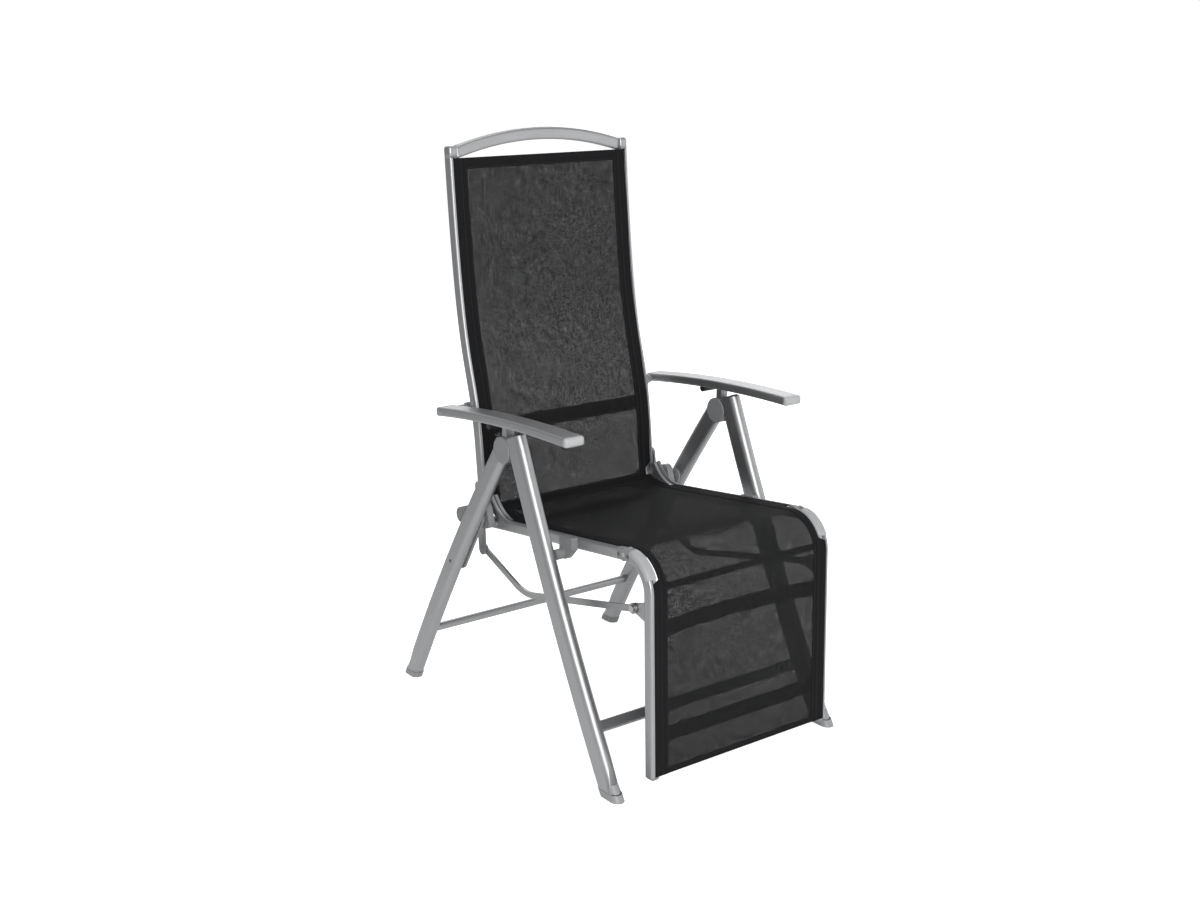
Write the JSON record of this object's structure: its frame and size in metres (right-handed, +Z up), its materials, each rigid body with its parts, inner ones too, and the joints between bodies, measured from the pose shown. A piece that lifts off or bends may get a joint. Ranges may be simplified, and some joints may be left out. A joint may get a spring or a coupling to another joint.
{
  "type": "reclining garden armchair",
  "caption": "Folding high-back garden armchair with mesh sling seat, linked footrest, notched armrests and flat oval legs",
  "frame": {"origin": "on the floor, under the middle of the chair's bounding box", "axes": "+X to the front (footrest side), +Y to the sitter's left, +Z up"},
  "size_m": [0.7822, 0.5784, 1.156],
  "materials": {
    "frame_tube": "satin silver coating",
    "grey_plastic": "moulded mid grey",
    "pale_plastic": "moulded pale grey",
    "dark_plastic": "moulded black",
    "steel": "zinc plated",
    "mesh_fabric": "woven coated yarn mesh, black"
  },
  "bodies": {
    "front_frame": {"front_legs": "frame_tube", "leg_heads": "frame_tube", "front_feet": "grey_plastic", "front_crossbar": "frame_tube", "latch_pins": "steel", "knuckle_pins": "steel", "seat_studs": "steel"},
    "rear_frame": {"rear_legs": "frame_tube", "knuckle_discs": "grey_plastic", "rear_feet": "grey_plastic", "rear_crossbar": "frame_tube", "hook_brackets": "grey_plastic", "hook_rivets": "steel"},
    "seat_frame": {"seat_rail_left": "frame_tube", "seat_rail_right": "frame_tube", "rail_end_caps": "grey_plastic", "knee_tongues": "grey_plastic", "knee_rivets_rear": "steel", "seat_clamps": "grey_plastic", "seat_crossbars": "frame_tube", "seat_housings": "grey_plastic", "hook_pins": "steel", "recline_pins": "steel", "seat_sling": "mesh_fabric"},
    "footrest": {"footrest_tube_left": "frame_tube", "footrest_tube_right": "frame_tube", "knee_forks": "grey_plastic", "knee_pins": "steel", "knee_rivets_front": "steel", "footrest_lower_bar": "frame_tube", "footrest_top_bar": "frame_tube", "footrest_upper_bar": "frame_tube", "footrest_caps": "grey_plastic", "corner_guards": "pale_plastic", "rod_brackets": "frame_tube", "rod_front_pins": "steel", "footrest_sling": "mesh_fabric"},
    "backrest": {"back_tube_left": "frame_tube", "back_tube_right": "frame_tube", "back_caps": "grey_plastic", "top_bow": "frame_tube", "back_crossbar": "frame_tube", "back_sling": "mesh_fabric", "back_levers": "frame_tube", "rod_rear_pins": "steel", "arm_lugs": "frame_tube"},
    "rod_left": {"push_rod_left": "frame_tube"},
    "arm_left": {"armrest_left": "frame_tube", "arm_front_cap_left": "pale_plastic", "arm_rear_cap_left": "grey_plastic", "arm_bolt_left": "steel", "arm_bush_left": "grey_plastic", "arm_rack_left": "dark_plastic"},
    "rod_right": {"push_rod_right": "frame_tube"},
    "arm_right": {"armrest_right": "frame_tube", "arm_front_cap_right": "pale_plastic", "arm_rear_cap_right": "grey_plastic", "arm_bolt_right": "steel", "arm_bush_right": "grey_plastic", "arm_rack_right": "dark_plastic"}
  },
  "joints": [
    {"name": "fold", "type": "hinge", "parent": "front_frame", "child": "rear_frame", "pos_m": [0.003, 0, 0.584], "axis": [0, -1, 0], "range_deg": [0, 52]},
    {"name": "seat_tilt", "type": "hinge", "parent": "front_frame", "child": "seat_frame", "pos_m": [0.13427, 0, 0.407], "axis": [0, -1, 0], "range_deg": [-8.5, 0.5]},
    {"name": "recline", "type": "hinge", "parent": "seat_frame", "child": "backrest", "pos_m": [-0.16071, 0, 0.416], "axis": [0, -1, 0], "range_deg": [0, 42]},
    {"name": "footrest_swing", "type": "hinge", "parent": "seat_frame", "child": "footrest", "pos_m": [0.29927, 0, 0.447], "axis": [0, -1, 0], "range_deg": [-0.5, 42]},
    {"name": "rod_turn_left", "type": "hinge", "parent": "backrest", "child": "rod_left", "pos_m": [-0.15421, 0.217, 0.333], "axis": [0, -1, 0], "range_deg": [-42, 0.5]},
    {"name": "arm_turn_left", "type": "hinge", "parent": "backrest", "child": "arm_left", "pos_m": [-0.20471, 0.267, 0.616], "axis": [0, -1, 0], "range_deg": [-30, 0.5]},
    {"name": "rod_turn_right", "type": "hinge", "parent": "backrest", "child": "rod_right", "pos_m": [-0.15421, -0.217, 0.333], "axis": [0, -1, 0], "range_deg": [-42, 0.5]},
    {"name": "arm_turn_right", "type": "hinge", "parent": "backrest", "child": "arm_right", "pos_m": [-0.20471, -0.267, 0.616], "axis": [0, -1, 0], "range_deg": [-30, 0.5]}
  ],
  "couplings": [
    {"joint": "seat_tilt", "follows": "fold", "ratio": -0.15385},
    {"joint": "footrest_swing", "follows": "recline", "ratio": 0.924},
    {"joint": "rod_turn_left", "follows": "recline", "ratio": -0.965},
    {"joint": "arm_turn_left", "follows": "recline", "ratio": -0.7},
    {"joint": "rod_turn_right", "follows": "recline", "ratio": -0.965},
    {"joint": "arm_turn_right", "follows": "recline", "ratio": -0.7}
  ]
}
